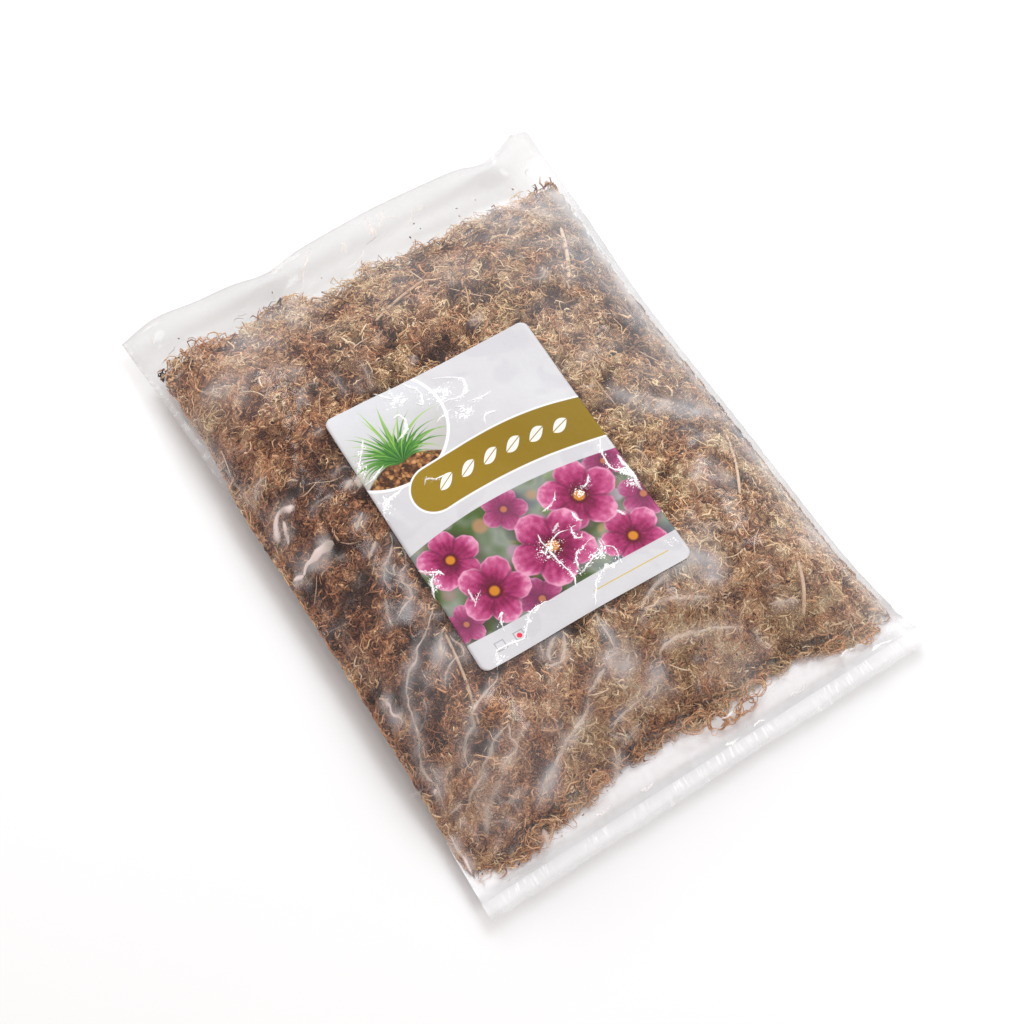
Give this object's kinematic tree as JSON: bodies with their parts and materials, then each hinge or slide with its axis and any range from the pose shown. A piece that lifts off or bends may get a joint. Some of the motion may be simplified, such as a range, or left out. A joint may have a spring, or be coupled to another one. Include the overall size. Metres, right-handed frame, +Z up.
{
  "type": "bag of dried sphagnum moss",
  "caption": "Clear film bag, welded shut all round and lying flat, filled with a tangled mat of dried long-fibre sphagnum moss, with a rounded rectangular sticker on its front.",
  "frame": {"origin": "on the floor under the middle of the bag's outline", "axes": "+X across the bag, +Y along it from the mouth weld with its loose lips to the far weld, +Z up through the labelled front film"},
  "size_m": [0.3, 0.436, 0.0624],
  "materials": {
    "film": "clear thin film, glossy and crumpled",
    "sticker": "glossy printed film sticker",
    "moss": "dry fibrous strands in tan, golden brown and dark brown",
    "straw": "dry matt stem"
  },
  "bodies": {
    "root": {"bag_film": "film", "label": "sticker", "moss_mat": "moss", "grass_stem_1": "straw", "grass_stem_2": "straw", "grass_stem_3": "straw", "grass_stem_4": "straw", "grass_stem_5": "straw"}
  },
  "joints": []
}
